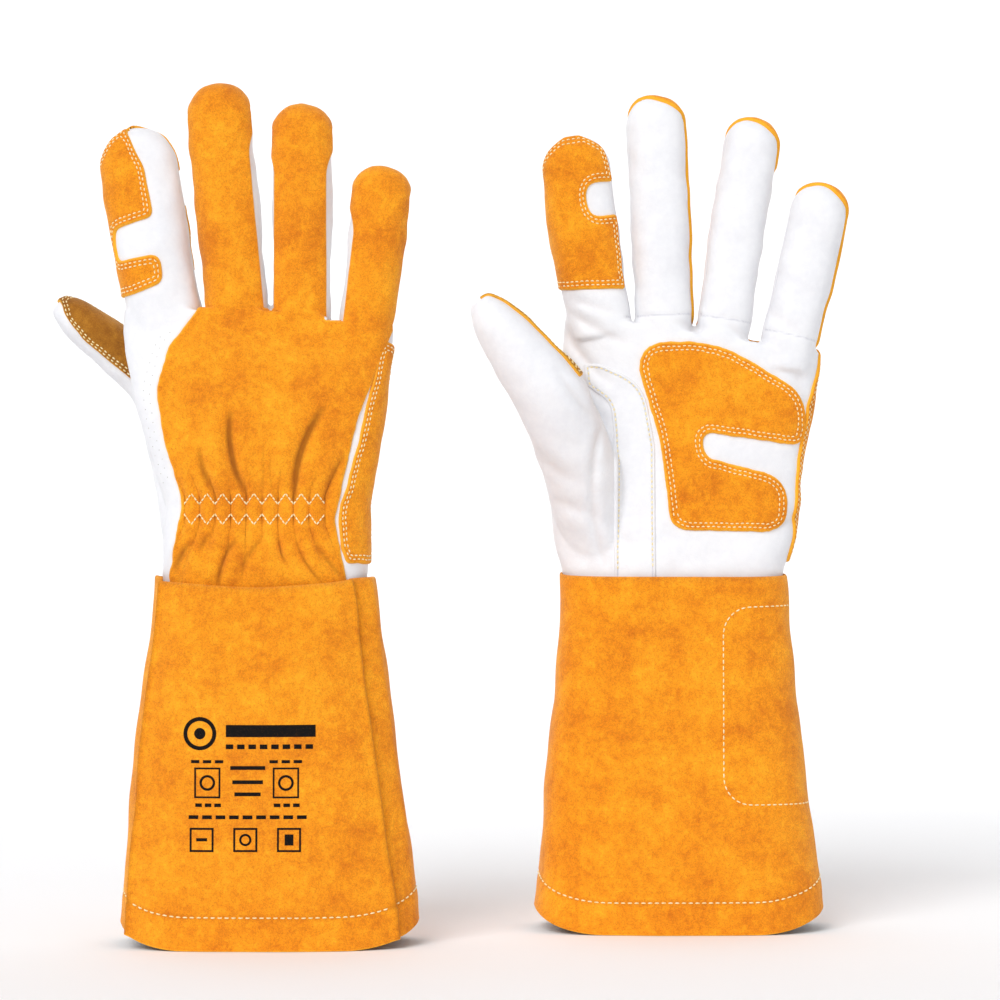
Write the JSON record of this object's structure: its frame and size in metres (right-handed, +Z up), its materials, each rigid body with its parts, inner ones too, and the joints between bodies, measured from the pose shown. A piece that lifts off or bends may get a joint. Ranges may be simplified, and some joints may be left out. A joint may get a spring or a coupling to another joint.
{
  "type": "pair of welding gloves",
  "caption": "Gauntlet welding gloves with suede backs and cuffs, smooth leather palms, sewn patches and an elastic wrist.",
  "frame": {"origin": "on the floor, at the middle of the box around the pair, which stands on its cuff hems", "axes": "+Z up from the hems to the fingertips, +X across the pair, +Y from front to back; the right-hand glove is at -X with the back of its hand to -Y, the left-hand glove at +X with its palm to -Y"},
  "size_m": [0.3829, 0.124, 0.4],
  "materials": {
    "suede": "napped split suede, matt",
    "grain_leather": "smooth full grain, satin",
    "lining": "knitted cotton, matt",
    "elastic": "woven elastic, matt",
    "thread": "twisted sewing thread",
    "print": "flat screen-printed ink"
  },
  "bodies": {
    "right_cuff": {"right_cuff_back_panel": "suede", "right_cuff_palm_panel": "suede", "right_vein_patch": "suede", "right_cuff_lining": "lining"},
    "right_hand": {"right_back_panel": "suede", "right_palm_panel": "grain_leather", "right_thumb_wing": "grain_leather", "right_palm_patch": "suede", "right_side_patch": "suede", "right_thumb_strip": "grain_leather", "right_wrist_elastic": "elastic", "right_hand_lining": "lining"},
    "right_thumb": {"right_thumb_wrap": "grain_leather", "right_thumb_patch": "suede", "right_thumb_lining": "lining"},
    "right_index": {"right_index_wrap": "grain_leather", "right_index_patch": "suede", "right_index_lining": "lining"},
    "right_middle": {"right_middle_back": "suede", "right_middle_front": "grain_leather", "right_middle_fourchettes": "grain_leather", "right_middle_lining": "lining"},
    "right_ring": {"right_ring_back": "suede", "right_ring_front": "grain_leather", "right_ring_fourchettes": "grain_leather", "right_ring_lining": "lining"},
    "right_little": {"right_little_back": "suede", "right_little_front": "grain_leather", "right_little_fourchettes": "grain_leather", "right_little_lining": "lining"},
    "left_cuff": {"left_cuff_back_panel": "suede", "left_cuff_palm_panel": "suede", "left_vein_patch": "suede", "left_cuff_lining": "lining"},
    "left_hand": {"left_back_panel": "suede", "left_palm_panel": "grain_leather", "left_thumb_wing": "grain_leather", "left_palm_patch": "suede", "left_side_patch": "suede", "left_thumb_strip": "grain_leather", "left_wrist_elastic": "elastic", "left_hand_lining": "lining"},
    "left_thumb": {"left_thumb_wrap": "grain_leather", "left_thumb_patch": "suede", "left_thumb_lining": "lining"},
    "left_index": {"left_index_wrap": "grain_leather", "left_index_patch": "suede", "left_index_lining": "lining"},
    "left_middle": {"left_middle_back": "suede", "left_middle_front": "grain_leather", "left_middle_fourchettes": "grain_leather", "left_middle_lining": "lining"},
    "left_ring": {"left_ring_back": "suede", "left_ring_front": "grain_leather", "left_ring_fourchettes": "grain_leather", "left_ring_lining": "lining"},
    "left_little": {"left_little_back": "suede", "left_little_front": "grain_leather", "left_little_fourchettes": "grain_leather", "left_little_lining": "lining"}
  },
  "joints": [
    {"name": "right_wrist", "type": "hinge", "parent": "right_cuff", "child": "right_hand", "pos_m": [-0.08526, -0.029, 0.169], "axis": [-1, 0, 0], "range_deg": [-20, 25], "stiffness_Nm_per_rad": 2},
    {"name": "right_thumb_bend", "type": "hinge", "parent": "right_hand", "child": "right_thumb", "pos_m": [-0.13836, 0.0195, 0.2618], "axis": [-0.6157, 0, -0.788], "range_deg": [0, 40], "stiffness_Nm_per_rad": 0.06},
    {"name": "right_index_bend", "type": "hinge", "parent": "right_hand", "child": "right_index", "pos_m": [-0.13376, -0.0105, 0.302], "axis": [-0.9848, 0, -0.1736], "range_deg": [0, 70], "stiffness_Nm_per_rad": 0.06},
    {"name": "right_middle_bend", "type": "hinge", "parent": "right_hand", "child": "right_middle", "pos_m": [-0.09876, -0.0105, 0.302], "axis": [-0.9956, 0, -0.0941], "range_deg": [0, 70], "stiffness_Nm_per_rad": 0.06},
    {"name": "right_ring_bend", "type": "hinge", "parent": "right_hand", "child": "right_ring", "pos_m": [-0.06826, -0.0105, 0.301], "axis": [-1, 0, 0], "range_deg": [0, 70], "stiffness_Nm_per_rad": 0.06},
    {"name": "right_little_bend", "type": "hinge", "parent": "right_hand", "child": "right_little", "pos_m": [-0.03776, -0.0105, 0.293], "axis": [-0.9936, 0, 0.1132], "range_deg": [0, 70], "stiffness_Nm_per_rad": 0.06},
    {"name": "left_wrist", "type": "hinge", "parent": "left_cuff", "child": "left_hand", "pos_m": [0.10794, 0.029, 0.169], "axis": [1, 0, 0], "range_deg": [-20, 25], "stiffness_Nm_per_rad": 2},
    {"name": "left_thumb_bend", "type": "hinge", "parent": "left_hand", "child": "left_thumb", "pos_m": [0.04994, -0.0195, 0.2528], "axis": [0.809, 0, 0.5878], "range_deg": [0, 40], "stiffness_Nm_per_rad": 0.06},
    {"name": "left_index_bend", "type": "hinge", "parent": "left_hand", "child": "left_index", "pos_m": [0.07054, 0.0105, 0.301], "axis": [0.9903, 0, 0.1392], "range_deg": [0, 70], "stiffness_Nm_per_rad": 0.06},
    {"name": "left_middle_bend", "type": "hinge", "parent": "left_hand", "child": "left_middle", "pos_m": [0.10294, 0.0105, 0.2947], "axis": [0.9991, 0, 0.0419], "range_deg": [0, 70], "stiffness_Nm_per_rad": 0.06},
    {"name": "left_ring_bend", "type": "hinge", "parent": "left_hand", "child": "left_ring", "pos_m": [0.13194, 0.0105, 0.2928], "axis": [0.989, 0, -0.1478], "range_deg": [0, 70], "stiffness_Nm_per_rad": 0.06},
    {"name": "left_little_bend", "type": "hinge", "parent": "left_hand", "child": "left_little", "pos_m": [0.16384, 0.0105, 0.285], "axis": [0.9744, 0, -0.225], "range_deg": [0, 70], "stiffness_Nm_per_rad": 0.06},
    {"name": "left_glove_slide", "type": "slide", "parent": "right_cuff", "child": "left_cuff", "axis": [0, -1, 0], "range_m": [0, 0.15]}
  ]
}
